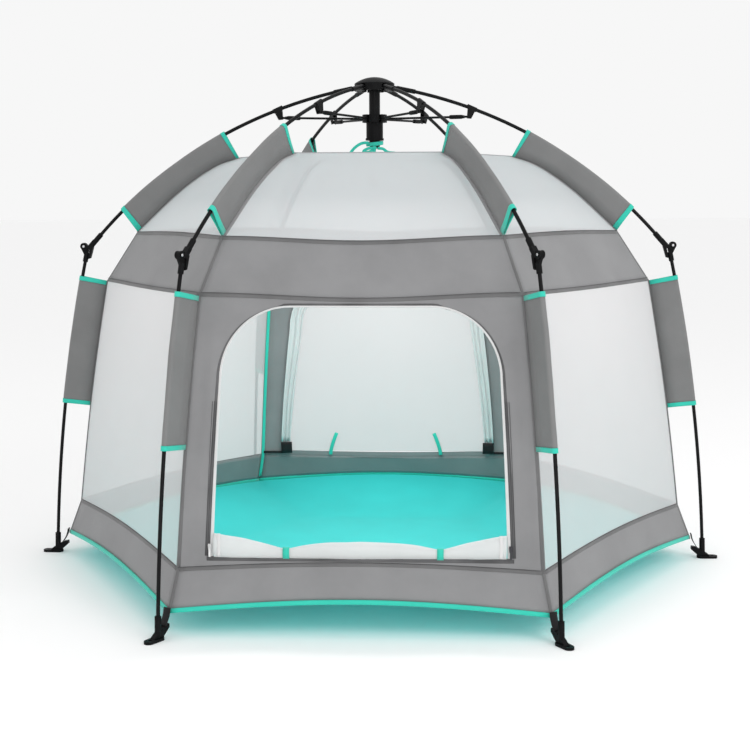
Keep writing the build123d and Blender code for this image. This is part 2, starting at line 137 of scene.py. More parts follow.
def along_side(r, z, sector, u):
    """A point on the straight side between two corners of the level hexagon of radius r."""
    return at(r, z, sector).lerp(at(r, z, sector + 60), u)


def mix(a, b, t):
    return a + (b - a) * t


def shares(n):
    """n + 1 even steps from 0 to 1."""
    return [i / n for i in range(n + 1)]


def circle_through(a, b, c):
    d = 2 * (a[0] * (b[1] - c[1]) + b[0] * (c[1] - a[1]) + c[0] * (a[1] - b[1]))
    sa, sb, sc = (p[0] ** 2 + p[1] ** 2 for p in (a, b, c))
    r = (sa * (b[1] - c[1]) + sb * (c[1] - a[1]) + sc * (a[1] - b[1])) / d
    z = (sa * (c[0] - b[0]) + sb * (a[0] - c[0]) + sc * (b[0] - a[0])) / d
    return r, z, math.hypot(a[0] - r, a[1] - z)


def pole_r(z):
    r0, z0, radius = circle_through(POLE_LOW, POLE_MID, POLE_HIGH)
    return r0 + math.sqrt(radius ** 2 - (z - z0) ** 2)


def rib_z(r):
    r0, z0, radius = circle_through(RIB_LOW, RIB_MID, RIB_HIGH)
    return z0 + math.sqrt(radius ** 2 - (r - r0) ** 2)


def smooth_line(points, count):
    """A smooth curve through (r, z) points, evenly spread over its spans."""
    p = [np.array(q, float) for q in points]
    p = [2 * p[0] - p[1]] + p + [2 * p[-1] - p[-2]]
    out = []
    for i in range(count + 1):
        s = i / count * (len(points) - 1)
        k = min(int(s), len(points) - 2)
        t = s - k
        a, b, c, d = p[k:k + 4]
        q = 2 * b + (c - a) * t + (2 * a - 5 * b + 4 * c - d) * t ** 2 + (3 * b - a - 3 * c + d) * t ** 3
        out.append(q * 0.5)
    return out


def new_mesh(name, points, faces, uvs=None, smooth=True):
    mesh = bpy.data.meshes.new(name)
    mesh.from_pydata([tuple(p) for p in points], [], faces)
    mesh.validate()
    layer = mesh.uv_layers.new(name="cloth")
    for loop in mesh.loops:
        layer.data[loop.index].uv = uvs[loop.vertex_index] if uvs else (0, 0)
    if smooth:
        mesh.polygons.foreach_set("use_smooth", [True] * len(mesh.polygons))
    obj = bpy.data.objects.new(name, mesh)
    bpy.context.scene.collection.objects.link(obj)
    return obj


def grid(name, rows, closed=False, capped=False):
    """A mesh over rows of points. UVs are in metres, along and across the rows."""
    n, m = len(rows), len(rows[0])
    points = [p for row in rows for p in row]
    faces = []
    for i in range(n - 1):
        for j in range(m if closed else m - 1):
            k = (j + 1) % m
            faces.append((i * m + j, i * m + k, (i + 1) * m + k, (i + 1) * m + j))
    flat = []
    across = 0.0
    for i, row in enumerate(rows):
        if i:
            across += (Vector(row[m // 2]) - Vector(rows[i - 1][m // 2])).length
        along = -sum((Vector(row[j + 1]) - Vector(row[j])).length for j in range(m - 1)) / 2
        for j in range(m):
            flat.append((along, across))
            if j < m - 1:
                along += (Vector(row[j + 1]) - Vector(row[j])).length
    if capped:
        faces += [tuple(range(m - 1, -1, -1)), tuple(range((n - 1) * m, n * m))]
    obj = new_mesh(name, points, faces, flat)
    if capped:
        for face in obj.data.polygons[-2:]:
            face.use_smooth = False
    return obj


def tube(name, rows):
    """A closed form lofted over rings of points, with flat ends."""
    return grid(name, rows, closed=True, capped=True)


def apply_modifiers(obj):
    depsgraph = bpy.context.evaluated_depsgraph_get()
    mesh = bpy.data.meshes.new_from_object(obj.evaluated_get(depsgraph))
    obj.modifiers.clear()
    old, obj.data = obj.data, mesh
    bpy.data.meshes.remove(old)
    return obj


def thicken(obj, thickness=CLOTH_T, offset=0.0):
    solid = obj.modifiers.new("thickness", "SOLIDIFY")
    solid.thickness = thickness
    solid.offset = offset
    solid.use_even_offset = True
    return apply_modifiers(obj)


def finish_piece(obj, material, nodes, body="enclosure", joint=FOLD):
    """Material, body, and the nodes it stands for, which it hides; with a joint, the piece gets a mesh of its own.
    """
    obj.data.materials.clear()
    obj.data.materials.append(material)
    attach(obj, body)
    if nodes:
        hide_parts(*nodes)
    if joint:
        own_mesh(obj)
    return obj


# ---------------------------------------------------------------- materials
class Paint:
    """A small helper that builds a node material."""

    def __init__(self, name):
        self.material = bpy.data.materials.new(name)
        self.material.use_nodes = True
        self.tree = self.material.node_tree
        self.shader = self.tree.nodes["Principled BSDF"]
        self.out = self.tree.nodes["Material Output"]

    def node(self, kind, **values):
        n = self.tree.nodes.new(kind)
        for key, value in values.items():
            if key in n.inputs:
                n.inputs[key].default_value = value
            else:
                setattr(n, key, value)
        return n

    def link(self, a, b):
        self.tree.links.new(a, b)

    def put(self, socket, value):
        """Set a socket's value, or link another node's output to it."""
        if isinstance(value, (int, float, tuple)):
            socket.default_value = value
        else:
            self.link(value, socket)

    def set(self, values):
        for key, value in values.items():
            self.put(self.shader.inputs[key], value)

    def math(self, operation, *values):
        n = self.node("ShaderNodeMath", operation=operation)
        for socket, value in zip(n.inputs, values):
            self.put(socket, value)
        return n.outputs[0]

    def blend(self, share, first, second):
        """Two shaders mixed, with this share of the second."""
        n = self.node("ShaderNodeMixShader")
        for socket, value in zip(n.inputs, (share, first, second)):
            self.put(socket, value)
        return n.outputs[0]

    def object_noise(self, scale, detail=3.0, roughness=0.55):
        place = self.node("ShaderNodeTexCoord")
        n = self.node("ShaderNodeTexNoise", Scale=scale, Detail=detail, Roughness=roughness)
        self.link(place.outputs["Object"], n.inputs["Vector"])
        return n.outputs["Fac"]

    def ramp(self, source, low, high, start=0.3, end=0.7):
        n = self.node("ShaderNodeValToRGB")
        n.color_ramp.elements[0].position = start
        n.color_ramp.elements[1].position = end
        n.color_ramp.elements[0].color = (*low, 1)
        n.color_ramp.elements[1].color = (*high, 1)
        self.link(source, n.inputs["Fac"])
        return n.outputs["Color"]

    def weave(self, pitch):
        """Height of a plain weave with threads this far apart, over the cloth's own UVs."""
        uv = self.node("ShaderNodeUVMap", uv_map="cloth")
        parts = self.node("ShaderNodeSeparateXYZ")
        self.link(uv.outputs["UV"], parts.inputs[0])
        waves = []
        for axis in ("X", "Y"):
            turns = self.math("MULTIPLY", parts.outputs[axis], math.pi / pitch)
            waves.append(self.math("ABSOLUTE", self.math("SINE", turns)))
        return self.math("MULTIPLY", waves[0], waves[1])

    def bump(self, height, strength, distance):
        n = self.node("ShaderNodeBump", Strength=strength, Distance=distance)
        self.link(height, n.inputs["Height"])
        self.link(n.outputs["Normal"], self.shader.inputs["Normal"])


def cloth_material(name, colour, pitch=0.0011, roughness=0.78, sheen=0.18, spread=0.07, translucent=0.0):
    """Woven polyester: weave in the bump, slow colour drift, and a soft sheen."""
    p = Paint(name)
    low = [c * (1 - spread) for c in colour]
    high = [min(c * (1 + spread), 1) for c in colour]
    colours = p.ramp(p.object_noise(9.0, 4.0), low, high)
    p.set({"Base Color": colours, "Roughness": roughness, "Specular IOR Level": 0.3})
    p.set({"Sheen Weight": sheen, "Sheen Roughness": 0.45})
    crease = p.math("MULTIPLY", p.object_noise(26.0, 2.0), 1.2)
    height = p.math("ADD", p.math("MULTIPLY", p.weave(pitch), 0.35), crease)
    p.bump(height, 0.35, 0.0012)
    if translucent:
        glow = p.node("ShaderNodeBsdfTranslucent")
        p.link(colours, glow.inputs["Color"])
        p.link(p.blend(translucent, p.shader.outputs[0], glow.outputs[0]), p.out.inputs["Surface"])
    return p.material


def netting_material(name, colour, cover, pitch=0.0016):
    """Fine white netting: threads that scatter light, with see-through holes between them."""
    p = Paint(name)
    p.set({"Base Color": (*colour, 1), "Roughness": 0.9, "Specular IOR Level": 0.2})
    glow = p.node("ShaderNodeBsdfTranslucent", Color=(*colour, 1))
    threads = p.blend(0.30, p.shader.outputs[0], glow.outputs[0])
    holes = p.node("ShaderNodeBsdfTransparent")
    net = p.math("MULTIPLY_ADD", p.weave(pitch), -0.24, cover + 0.10)
    drift = p.math("MULTIPLY", p.object_noise(5.0, 2.0), 0.08)
    amount = p.math("ADD", net, drift)
    p.link(p.blend(amount, holes.outputs[0], threads), p.out.inputs["Surface"])
    return p.material


def plastic_material(name, colour, roughness, grain=0.25, coat=0.0):
    """Moulded or coated plastic: fine grain, small patches of wear in the gloss."""
    p = Paint(name)
    low, high = [c * 0.8 for c in colour], [c * 1.35 for c in colour]
    worn = p.math("MULTIPLY", p.object_noise(35.0, 4.0), 0.22)
    p.set({"Base Color": p.ramp(p.object_noise(60.0, 5.0), low, high)})
    p.set({"Roughness": p.math("ADD", worn, roughness - 0.1), "Specular IOR Level": 0.09})
    p.set({"Coat Weight": coat, "Coat Roughness": 0.25})
    p.bump(p.object_noise(1400.0, 2.0), grain, 0.0002)
    return p.material


def metal_material(name, colour, roughness):
    p = Paint(name)
    colours = p.ramp(p.object_noise(300.0), [c * 0.85 for c in colour], colour)
    worn = p.math("MULTIPLY_ADD", p.object_noise(500.0), 0.15, roughness - 0.07)
    p.set({"Base Color": colours, "Metallic": 1.0, "Roughness": worn})
    return p.material


GREY = cloth_material("grey_polyester", (0.245, 0.245, 0.25))
GREY_SLEEVE = cloth_material("grey_sleeve_cloth", (0.195, 0.196, 0.196))
GREY_SEAM = cloth_material("grey_seam_tape", (0.150, 0.150, 0.152), pitch=0.0008, spread=0.12)
# Dark mottled facing outside the door's zip tape; the strip also paints the thin shade beside the door's jambs.
ZIP_FACING_AND_SHADE = cloth_material("dark_zip_facing_and_painted_shade", (0.105, 0.105, 0.108), pitch=0.0012, spread=0.35)
TEAL = cloth_material("teal_binding_tape", (0.035, 0.560, 0.430), pitch=0.0009, sheen=0.25, spread=0.05)
FLOOR = cloth_material("teal_floor_cloth", (0.033, 0.660, 0.640), pitch=0.0014, roughness=0.62, spread=0.04,
                       translucent=0.15)
NET = netting_material("white_side_netting", (0.70, 0.665, 0.675), 0.76)
NET_ROOF = netting_material("white_roof_netting", (0.71, 0.68, 0.695), 0.78)
# Roof edge seam tape, dimmed below the netting's colour to paint the slight shade of the fold along the roof's
# edge.
ROOF_SEAM_FOLD_SHADE = cloth_material("roof_seam_painted_fold_shade", (0.52, 0.515, 0.525), pitch=0.0008, spread=0.05, translucent=0.3)
WHITE = cloth_material("white_zip_tape", (0.80, 0.80, 0.80), pitch=0.0008, spread=0.03, translucent=0.2)
ROLLED = cloth_material("rolled_white_netting", (0.82, 0.83, 0.83), pitch=0.0016, spread=0.03,
                        translucent=0.35)
# Dark thread, darker and wider than real stitching, so the stitch rows also paint the crease shade beside the
# seams.
THREAD_AND_CREASE_SHADE = cloth_material("dark_thread_painted_crease_shade", (0.060, 0.060, 0.062), pitch=0.0005)
WEBBING = cloth_material("black_webbing", (0.008, 0.008, 0.009), pitch=0.0018, roughness=0.7, sheen=0.1)
BLACK = plastic_material("black_moulded_plastic", (0.0055, 0.0055, 0.006), 0.46, 0.3)
POLE = plastic_material("black_coated_rod", (0.0040, 0.0040, 0.0045), 0.36, 0.1, coat=0.08)
STEEL = metal_material("steel_pin", (0.70, 0.70, 0.71), 0.3)
ZIP_WHITE = plastic_material("white_painted_slider", (0.62, 0.62, 0.62), 0.35, 0.1)
ZIP_DARK = plastic_material("dark_painted_slider", (0.05, 0.05, 0.055), 0.35, 0.1)


# ---------------------------------------------------------------- the enclosure's surfaces
def bow(u):
    return math.sin(math.pi * u)


def lift(u, rise):
    """How far an edge wanders from straight: arched evenly, or sagging only in the middle."""
    return rise * (bow(u) if rise > 0 else bow(u) ** 2)


def ripple(p, size, fade):
    """A small wander that makes cloth lie less than flat."""
    return size * fade * noise.noise(Vector((p.x * 7, p.y * 7, p.z * 5)))


def bulge_share(sector, u):
    """The front wall lies flat from the door's jambs inward, where the zip sliders run."""
    if sector != FRONT:
        return 1.0
    return 1 - min(max(min(u, 1 - u), 0.0) / FLAT_FROM, 1.0)


def side_point(sector, low, high, rises, u, v, off=0.0):
    """A point on one side of the yard: u along it, v from the low level to the high one."""
    r, z = mix(low[0], high[0], v), mix(low[1], high[1], v)
    if low is SKIRT_TOP:
        r += WALL_BULGE * bulge_share(sector, u) * bow(min(max(v, 0.0), 1.0))
    p = along_side(r, z, sector, u)
    p.z += mix(lift(u, rises[0]), lift(u, rises[1]), v)
    slope = Vector((high[0] - low[0], high[1] - low[1])).normalized()
    a = math.radians(sector + 30)
    out = Vector((math.cos(a) * slope.y, math.sin(a) * slope.y, -slope.x * math.cos(math.radians(30))))
    inside = min(1.0, 4 * v * (1 - v) + 0.15)
    edge = min(u, 1 - u) * r
    crease = CREASE * math.sin(edge * 190) * math.exp(-edge / 0.045) * inside
    return p + out * (off + crease - SLACK * bow(u) + ripple(p, RIPPLE, bow(u) * inside))


LEVELS = {
    "skirt": (HEM, SKIRT_TOP, ("hem", "skirt")),
    "wall": (SKIRT_TOP, WALL_TOP, ("skirt", "wall")),
    "band": (WALL_TOP, BAND_TOP, ("wall", "band")),
}


def rise_of(level, sector):
    """How far the middle of a level's edge lies above its corners, on this side of the yard."""
    if level == "skirt" and sector == REAR:
        return REAR_SKIRT_RISE
    return (RISE if sector in (FRONT, REAR) else SIDE_RISE)[level]


def level_of(kind, sector):
    low, high, names = LEVELS[kind]
    return low, high, tuple(rise_of(name, sector) for name in names)


def side_panel(name, kind, sector, m, n=36):
    """A panel of m rows of n faces that fills one side of the yard between two levels."""
    low, high, rises = level_of(kind, sector)
    return grid(name, [[side_point(sector, low, high, rises, u, v) for u in shares(n)] for v in shares(m)])


def build_skirt_and_band():
    for place, sector in SECTORS.items():
        for kind, node in (("skirt", "skirt_panels"), ("band", "band_panels")):
            obj = thicken(side_panel(f"{kind}_{place}", kind, sector, m=8))
            finish_piece(obj, GREY, [node])


def build_netting_walls():
    for place, sector in SECTORS.items():
        if place in ("front", "rear"):
            continue
        obj = side_panel(f"netting_wall_{place}", "wall", sector, m=24)
        finish_piece(obj, NET, ["side_mesh_walls"])


def door_shape(sector):
    """Sill height, half width at the sill and half width where the arch begins."""
    if sector == REAR:
        return DOOR_SILL - REAR_SILL_DROP, DOOR_HALF_LOW + 0.009, DOOR_HALF_HIGH - 0.012
    return DOOR_SILL, DOOR_HALF_LOW, DOOR_HALF_HIGH


def door_half(z, sector=FRONT):
    """Half the door's width at height z."""
    sill, low, high = door_shape(sector)
    if z <= DOOR_SPRING:
        t = (z - sill) / (DOOR_SPRING - sill)
        return mix(low, high, t ** 1.25 if t > 0 else 0.0)
    t = min((z - DOOR_SPRING) / (DOOR_TOP - DOOR_SPRING), 1.0)
    return DOOR_FLAT_HALF + (high - DOOR_FLAT_HALF) * math.sqrt(max(0.0, 1 - t * t))


def door_loop(jamb=14, bend=14, top=12, grow=0.0, sector=FRONT):
    """The arch from the lower left, over the top, to the lower right, as (x, z)."""
    sill, low, high = door_shape(sector)
    left = []
    for i in range(jamb):
        z = mix(sill, DOOR_SPRING, i / jamb)
        left.append((-door_half(z, sector) - grow, z))
    wide, tall = high - DOOR_FLAT_HALF, DOOR_TOP - DOOR_SPRING
    for i in range(bend):
        a = math.pi / 2 * i / bend
        x = -DOOR_FLAT_HALF - (wide + grow) * math.cos(a)
        left.append((x, DOOR_SPRING + (tall + grow) * math.sin(a)))
    flat = [(mix(-DOOR_FLAT_HALF, DOOR_FLAT_HALF, i / top), DOOR_TOP + grow) for i in range(top + 1)]
    return left + flat + [(-x, z) for x, z in reversed(left)]


def wall_rises(sector):
    return level_of("wall", sector)[2]


def wall_uv(x, z, sector=FRONT):
    """Where a point (x along the wall, height z) lies on a side wall, as u and v."""
    rises = wall_rises(sector)
    v = (z - SKIRT_TOP[1]) / (WALL_TOP[1] - SKIRT_TOP[1])
    r = mix(SKIRT_TOP[0], WALL_TOP[0], v)
    u = 0.5 + x / r
    inside = min(max(u, 0), 1)
    z_flat = z - mix(lift(inside, rises[0]), lift(inside, rises[1]), v)
    v = (z_flat - SKIRT_TOP[1]) / (WALL_TOP[1] - SKIRT_TOP[1])
    return 0.5 + x / mix(SKIRT_TOP[0], WALL_TOP[0], v), v


def wall_point(sector, x, z, off=0.0):
    """x runs from left to right as seen from outside."""
    u, v = wall_uv(x, z, sector)
    return side_point(sector, SKIRT_TOP, WALL_TOP, wall_rises(sector), u, v, off)


def wall_outline(jamb, bend, top, sill):
    """The door wall's outer edge as (u, v), with a point for each point of the door's own outline."""
    spring_v = (DOOR_SPRING - SKIRT_TOP[1]) / (WALL_TOP[1] - SKIRT_TOP[1])
    flat_u = 0.5 - DOOR_FLAT_HALF / WALL_TOP[0]
    half = bend // 2
    line = [(0.0, spring_v * i / jamb) for i in range(jamb)]
    for i in range(bend):
        if i <= half:
            line.append((0.0, mix(spring_v, 1.0, i / half)))
        else:
            line.append((flat_u * (i - half) / (bend - half), 1.0))
    line += [(mix(flat_u, 1 - flat_u, t), 1.0) for t in shares(top)]
    line += [(1 - u, v) for u, v in reversed(line[:jamb + bend])]
    return line + [(1 - i / sill, 0.0) for i in range(1, sill)]


def build_door_walls():
    """The grey front and rear walls, each a ring of cloth from the door's outline to the wall's edge."""
    jamb, bend, top, sill, rings = 14, 14, 12, 16, 8
    outer = wall_outline(jamb, bend, top, sill)
    for place, sector in (("front", FRONT), ("rear", REAR)):
        rises = wall_rises(sector)
        inner = [wall_uv(x, z, sector) for x, z in door_loop(jamb, bend, top, sector=sector)]
        inner += [(mix(inner[-1][0], inner[0][0], i / sill), inner[0][1]) for i in range(1, sill)]
        rows = []
        for t in shares(rings):
            places = [(mix(a[0], b[0], t), mix(a[1], b[1], t)) for a, b in zip(inner, outer)]
            rows.append([side_point(sector, SKIRT_TOP, WALL_TOP, rises, u, v) for u, v in places])
        obj = thicken(grid(f"{place}_door_panel", rows, closed=True))
        finish_piece(obj, GREY, [f"{place}_door_wall"])


def build_rear_netting():
    rows = []
    for share in shares(24):
        z = mix(DOOR_SILL - REAR_SILL_DROP, DOOR_TOP, share)
        wide = door_half(z, REAR)
        rows.append([wall_point(REAR, mix(-wide, wide, t), z, -0.0015) for t in shares(30)])
    obj = grid("rear_door_netting", rows)
    finish_piece(obj, NET, ["rear_door_mesh"])


def dome_profile(count):
    return smooth_line([BAND_TOP, *SHOULDERS, ROOF_EDGE], count)


def build_dome():
    """The six netting panels between the band and the roof."""
    profile = dome_profile(20)
    middle = Vector((0, 0, 0.35))
    for place, sector in SECTORS.items():
        rows = []
        for (r, z), v in zip(profile, shares(20)):
            row = []
            for u in shares(30):
                p = along_side(r, z, sector, u)
                p.z += mix(lift(u, rise_of("band", sector)), 0.0, v)
                fade = bow(u) * 4 * v * (1 - v)
                row.append(p + (p - middle).normalized() * (ripple(p, DOME_RIPPLE, fade) - DOME_SLACK * fade))
            rows.append(row)
        obj = grid(f"dome_netting_{place}", rows)
        finish_piece(obj, NET_ROOF, ["dome_mesh"])


def build_roof():
    """The level netting in the middle, which sags and is drawn up round the post."""
    around = 72
    rows = []
    for t in shares(10):
        row = []
        for j in range(around):
            angle = j * 360 / around
            sector = angle // 60 * 60
            p = along_side(ROOF_EDGE[0], 0, sector, (angle - sector) / 60) * mix(1.0, ROOF_MIDDLE, t)
            peak = (ROOF_Z - ROOF_EDGE[1]) * t ** 3
            sag = -ROOF_SAG * bow(t) * (0.6 + 0.4 * math.cos(math.radians(6 * angle)))
            p.z = ROOF_EDGE[1] + peak + sag + ripple(Vector((p.x * 2, p.y * 2, 0)), DOME_RIPPLE, bow(t))
            row.append(p)
        rows.append(row)
    top = grid("roof_netting", rows, closed=True)
    finish_piece(top, NET_ROOF, ["dome_mesh"])


def direction_at(points, i):
    """The direction of a line at its point i."""
    return (points[min(i + 1, len(points) - 1)] - points[max(i - 1, 0)]).normalized()


def ribbon(name, points, normals, width, thick, above=0.0):
    """A flat tape along points, lying square to the normals. The width may be a list."""
    rows = []
    for i, p in enumerate(points):
        out = normals[i].normalized()
        across = direction_at(points, i).cross(out).normalized()
        wide = width[i] if isinstance(width, list) else width
        row = []
        for s, h in ((-1, 0.0), (-0.92, 0.8), (-0.5, 1.0), (0.5, 1.0), (0.92, 0.8), (1, 0.0)):
            row.append(p + across * (s * wide / 2) + out * (above + h * thick))
        row.append(p + across * (wide / 2) + out * (above - 0.2 * thick))
        row.append(p - across * (wide / 2) + out * (above - 0.2 * thick))
        rows.append(row)
    return tube(name, rows)


def outward(sector, low, high):
    slope = Vector((high[0] - low[0], high[1] - low[1])).normalized()
    a = math.radians(sector + 30)
    return Vector((math.cos(a) * slope.y, math.sin(a) * slope.y, -slope.x * APOTHEM)).normalized()


FRONT_OUT = outward(FRONT, SKIRT_TOP, WALL_TOP)
REAR_OUT = outward(REAR, SKIRT_TOP, WALL_TOP)


def stitches(name, runs, nodes, pitch=0.0042, long=0.0032, wide=0.0013):
    """Short raised stitches along lines, all in one mesh, in dark thread that also paints the crease shade beside
    seams. A run is (points, outward normal).
    """
    points, faces = [], []
    for line, out in runs:
        lengths = [0.0]
        for a, b in zip(line, line[1:]):
            lengths.append(lengths[-1] + (b - a).length)
        k, s = 0, pitch / 2
        while s < lengths[-1] - long:
            while lengths[k + 1] < s:
                k += 1
            a, b = line[k], line[k + 1]
            p = a.lerp(b, (s - lengths[k]) / (lengths[k + 1] - lengths[k]))
            t = (b - a).normalized()
            across = t.cross(out).normalized()
            b0 = len(points)
            for end in (-0.5, 0.5):
                for side, up in ((-1, 0.0), (1, 0.0), (0, 1.0)):
                    points.append(p + t * end * long + across * side * wide / 2 + out * up * wide * 0.7)
            faces += [
                (b0, b0 + 3, b0 + 5, b0 + 2), (b0 + 1, b0 + 2, b0 + 5, b0 + 4), (b0, b0 + 1, b0 + 4, b0 + 3),
                (b0, b0 + 2, b0 + 1), (b0 + 3, b0 + 4, b0 + 5),
            ]
            s += pitch
    obj = new_mesh(name, points, faces, smooth=False)
    return finish_piece(obj, THREAD_AND_CREASE_SHADE, nodes)


def build_level_seams():
    """Seam tape with two rows of dark stitches where the skirt, walls, band and dome meet; the stitch rows also
    paint crease shade.
    """
    runs = []
    kinds = (
        ("skirt_seam", "skirt", 0.985, "skirt_panels"),
        ("band_low_seam", "band", 0.03, "band_panels"),
        ("band_high_seam", "band", 0.968, "band_panels"),
    )
    for place, sector in SECTORS.items():
        for name, kind, v, node in kinds:
            low, high, rises = level_of(kind, sector)
            out = outward(sector, low, high)
            line = [side_point(sector, low, high, rises, mix(0.004, 0.996, t), v) for t in shares(40)]
            tape = ribbon(f"{name}_{place}", line, [out] * 41, WELT, 0.0009, 0.0003)
            finish_piece(tape, GREY_SEAM, [node])
            for side in (-1, 1):
                shifted = [p + Vector((0, 0, side * WELT * 0.36)) for p in line]
                runs.append(([p + out * 0.0012 for p in shifted], out))
    for place, sector in SECTORS.items():
        out = (Vector((0, 0, 1)) + outward(sector, BAND_TOP, ROOF_EDGE)).normalized()
        line = [along_side(*ROOF_EDGE, sector, u) for u in shares(24)]
        # The roof-edge tape is dimmed to paint the shade of the fold there.
        tape = ribbon(f"roof_seam_{place}", line, [out] * 25, 0.004, 0.0008, 0.0002)
        finish_piece(tape, ROOF_SEAM_FOLD_SHADE, ["dome_mesh"])
    stitches("level_seam_stitches", runs, ["band_panels"])


def build_corner_seams():
    """Grey corner seams from the hem to the band, and pale ones up the dome."""
    for corner, angle in CORNERS.items():
        for name, low, high, node, width in (
            ("skirt_corner", HEM, SKIRT_TOP, "skirt_panels", 0.0045),
            ("wall_corner", SKIRT_TOP, WALL_TOP, "side_mesh_walls", 0.0055),
            ("band_corner", WALL_TOP, BAND_TOP, "band_panels", 0.004),
        ):
            bulge = WALL_BULGE if name == "wall_corner" else 0.0
            line = []
            for t in shares(16):
                line.append(at(mix(low[0], high[0], t) + bulge * bow(t), mix(low[1], high[1], t), angle))
            tape = fold_tape(f"{name}_{corner}", line, angle, width)
            finish_piece(tape, GREY_SEAM, [node])
        line = [at(r, z, angle) for r, z in dome_profile(20)]
        tape = fold_tape(f"dome_corner_{corner}", line, angle, 0.007)
        finish_piece(tape, GREY, ["dome_mesh"])


def fold_tape(name, line, angle, width):
    """Tape folded round a corner edge, lying on both walls that meet there."""
    rows = []
    side = sideways(angle)
    radial = at(1, 0, angle)
    for i, p in enumerate(line):
        tangent = direction_at(line, i)
        out = (radial - tangent * radial.dot(tangent)).normalized()
        row = []
        for s, above in [(s, 0.0012) for s in (-1, -0.5, 0, 0.5, 1)] + [(s, 0.0002) for s in (1, 0, -1)]:
            back = abs(s) * width * math.tan(math.radians(30)) * 0.985
            row.append(p + side * s * width + out * (above - back))
        rows.append(row)
    return tube(name, rows)


def build_hem():
    """Teal binding folded round the hem, arched between the corners."""
    for place, sector in SECTORS.items():
        out = outward(sector, BINDING_LOW, HEM)
        rows = []
        for u in shares(40):
            low = along_side(*BINDING_LOW, sector, u)
            high = along_side(*HEM, sector, u)
            raised = Vector((0, 0, bow(u) * rise_of("hem", sector)))
            a, b = low + raised, high + raised + Vector((0, 0, 0.001))
            mid = (a + b) / 2
            rows.append([
                a + out * 0.0002, a + out * 0.0012 + (b - a) * 0.08, mid + out * 0.0018, b + out * 0.0014,
                b + out * 0.0004, b - out * 0.0016, mid - out * 0.0018, a - out * 0.0014,
            ])
        obj = tube(f"hem_binding_{place}", rows)
        finish_piece(obj, TEAL, ["hem_binding"])


def build_floor():
    """Floor cloth: flat on the ground, lifted to the hem all round by the corner straps."""
    around = 144
    rows = []
    r_edge, z_edge = BINDING_LOW[0] - 0.0015, BINDING_LOW[1] + 0.001
    for t in shares(26):
        row = []
        for j in range(around):
            angle = j * 360 / around
            sector = angle // 60 * 60
            u = (angle - sector) / 60
            s = max(0.0, (t - 0.5) / 0.5)
            r = FLOOR_FLAT_R * t / 0.5 if t < 0.5 else mix(FLOOR_FLAT_R, r_edge, s)
            z = 0.0028 + (z_edge - 0.0028 + bow(u) * rise_of("hem", sector)) * s ** 1.25
            p = along_side(r, 0, sector, u)
            p.z = z + 0.0016 * (0.5 + 0.5 * noise.noise(Vector((p.x * 6, p.y * 6, 3.0)))) * (1 - s)
            row.append(p)
        rows.append(row)
    obj = grid("floor_cloth", rows, closed=True)
    finish_piece(obj, FLOOR, ["floor_mat"])


# ---------------------------------------------------------------- pole sleeves
def sleeve_section(inner, outer, angle, radius, spread):
    """Cross-section of a sleeve: from the seam, round the pole, and back, as points."""
    side = sideways(angle)
    d = (outer - inner).normalized()
    web = (outer - inner).length
    row = [inner + side * spread, inner + d * web * 0.45 + side * (spread + 0.0012)]
    for i in range(9):
        t = math.radians(100 - 25 * i)
        row.append(outer + d * radius * math.cos(t) + side * radius * math.sin(t))
    row += [inner + d * web * 0.45 - side * (spread + 0.0012), inner - side * spread]
    return row


def lower_line(share):
    z = mix(SLEEVE_LOW, SLEEVE_HIGH, share)
    v = (z - SKIRT_TOP[1]) / (WALL_TOP[1] - SKIRT_TOP[1])
    inner = (mix(SKIRT_TOP[0], WALL_TOP[0], v) + WALL_BULGE * bow(v) + 0.0012, z)
    z_out = z + mix(0.007, 0.012, share)
    return inner, (pole_r(z_out), z_out)


def upper_line(share):
    profile = dome_profile(40)
    place = share * 39.5
    k = int(place)
    inner = Vector(profile[k]).lerp(Vector(profile[k + 1]), place - k)
    r = mix(0.647, 0.378, share)
    return (inner.x + 0.0008, inner.y + 0.0008), (r, rib_z(r))


def sleeve_row(line, share, angle, radius, spread):
    inner, outer = line(share)
    return sleeve_section(at(*inner, angle), at(*outer, angle), angle, radius, spread)


def build_sleeves():
    """Sleeves that hold the walls to the poles and the dome to the ribs, bound in teal at both ends."""
    for corner, angle in CORNERS.items():
        for kind, line, steps in (("lower", lower_line, 30), ("upper", upper_line, 34)):
            length = sum((Vector(line((i + 1) / 20)[1]) - Vector(line(i / 20)[1])).length for i in range(20))
            cut = BIND_W * 0.6 / length
            rows = []
            for t in shares(steps):
                share = mix(cut, 1 - cut, t)
                row = sleeve_row(line, share, angle, SLEEVE_R, 0.0012)
                wave = sideways(angle) * ripple(at(*line(share)[1], angle) * 2.2, 0.0016, 0.4 + bow(t))
                row = [p + wave * (1.0 if 0 < j < len(row) - 1 else 0.2) for j, p in enumerate(row)]
                rows.append(row)
            sleeve = thicken(grid(f"{kind}_sleeve_{corner}", rows), 0.0008)
            finish_piece(sleeve, GREY_SLEEVE, ["pole_sleeves"])
            web = sum((Vector(line(t)[1]) - Vector(line(t)[0])).length for t in shares(6)) / 7
            for end, low, high in (("low", 0.0, BIND_W / length), ("high", 1 - BIND_W / length, 1.0)):
                places = [mix(low, high, t) for t in shares(4)]
                rows = [sleeve_row(line, t, angle, SLEEVE_R + 0.001, 0.0024) for t in places]
                tape = thicken(grid(f"{kind}_sleeve_{end}_tape_{corner}", rows), 0.0011)
                finish_piece(tape, TEAL, ["sleeve_bindings"])


# ---------------------------------------------------------------- front and rear door details
def tape_along(name, path, width, thick, above, material, nodes):
    """Tape on the outer face of the front wall, along (x, z) points."""
    line = [wall_point(FRONT, x, z) for x, z in path]
    obj = ribbon(name, line, [FRONT_OUT] * len(line), width, thick, above)
    return finish_piece(obj, material, nodes)


def lower_share(z, top=0.60):
    """1 at the sill, falling to 0 at the given height."""
    return min(max((top - z) / (top - DOOR_SILL), 0.0), 1.0)


